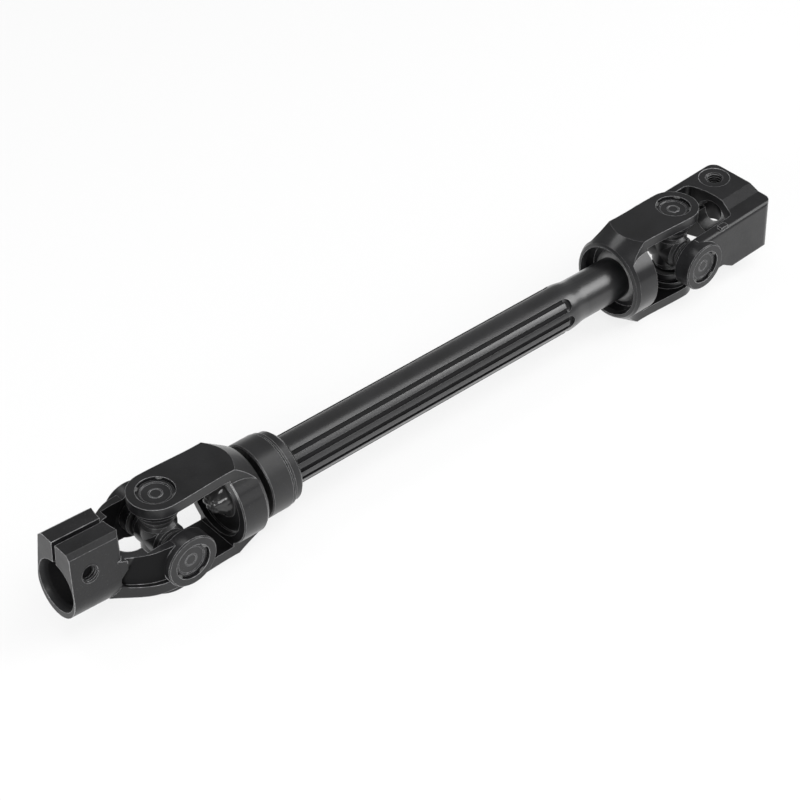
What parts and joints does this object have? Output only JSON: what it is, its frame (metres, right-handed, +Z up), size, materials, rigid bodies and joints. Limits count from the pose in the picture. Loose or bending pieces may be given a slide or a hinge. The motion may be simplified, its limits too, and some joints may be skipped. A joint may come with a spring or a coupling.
{
  "type": "steering universal joint shaft",
  "caption": "Telescopic steering shaft with a cross joint and a slotted clamp yoke at each end, carrying turning force between shafts that do not line up.",
  "frame": {"origin": "on the lower clamp bore's axis, level with its pinch bolt", "axes": "+X along the shaft towards the upper clamp, +Z up with the lower clamp's slot on top, +Y completing a right-handed set"},
  "size_m": [0.369, 0.042, 0.0429],
  "materials": {
    "forged_black": "satin black coating on forged steel",
    "pressed_black": "satin black coating on pressed steel plate",
    "coated_tube": "semi-gloss dark coating on drawn tube",
    "cup_steel": "dark drawn steel",
    "forged_steel": "case-hardened forged steel",
    "ground_steel": "ground and phosphated",
    "needle_steel": "bright ground",
    "weld_metal": "coated weld, glossier than the plate",
    "seal_rubber": "matt black",
    "bush_plastic": "natural nylon"
  },
  "bodies": {
    "lower_clamp": {"lower_clamp_yoke": "forged_black", "lower_cup_left": "cup_steel", "lower_seal_left": "seal_rubber", "lower_needles_left": "needle_steel", "lower_cup_right": "cup_steel", "lower_seal_right": "seal_rubber", "lower_needles_right": "needle_steel"},
    "lower_cross": {"lower_cross": "forged_steel"},
    "lower_shaft": {"lower_shaft_yoke": "pressed_black", "slider_shaft": "ground_steel", "lower_weld_bead": "weld_metal", "lower_cup_top": "cup_steel", "lower_seal_top": "seal_rubber", "lower_needles_top": "needle_steel", "lower_cup_bottom": "cup_steel", "lower_seal_bottom": "seal_rubber", "lower_needles_bottom": "needle_steel"},
    "tube": {"fluted_tube": "coated_tube", "collar": "coated_tube", "wiper_seal": "seal_rubber", "sliding_bush": "bush_plastic", "upper_weld_bead": "weld_metal", "upper_shaft_yoke": "pressed_black", "upper_cup_top": "cup_steel", "upper_seal_top": "seal_rubber", "upper_needles_top": "needle_steel", "upper_cup_bottom": "cup_steel", "upper_seal_bottom": "seal_rubber", "upper_needles_bottom": "needle_steel"},
    "upper_cross": {"upper_cross": "forged_steel"},
    "upper_clamp": {"upper_clamp_yoke": "forged_black", "upper_cup_left": "cup_steel", "upper_seal_left": "seal_rubber", "upper_needles_left": "needle_steel", "upper_cup_right": "cup_steel", "upper_seal_right": "seal_rubber", "upper_needles_right": "needle_steel"}
  },
  "joints": [
    {"name": "lower_cross_pitch", "type": "hinge", "parent": "lower_clamp", "child": "lower_cross", "pos_m": [0.03776, 0, -0.00171], "axis": [0, 1, 0], "range_deg": [-22.4, 27.6]},
    {"name": "lower_cross_yaw", "type": "hinge", "parent": "lower_cross", "child": "lower_shaft", "pos_m": [0.03776, 0, -0.00171], "axis": [0, 0, 1], "range_deg": [-25, 25]},
    {"name": "shaft_slide", "type": "slide", "parent": "lower_shaft", "child": "tube", "axis": [1, 0, 0], "range_m": [-0.0028, 0.05]},
    {"name": "upper_cross_yaw", "type": "hinge", "parent": "tube", "child": "upper_cross", "pos_m": [0.31401, 0, -0.00171], "axis": [0, 0, 1], "range_deg": [-25, 25]},
    {"name": "upper_cross_pitch", "type": "hinge", "parent": "upper_cross", "child": "upper_clamp", "pos_m": [0.31401, 0, -0.00171], "axis": [0, 1, 0], "range_deg": [-21.5, 28.5]}
  ]
}
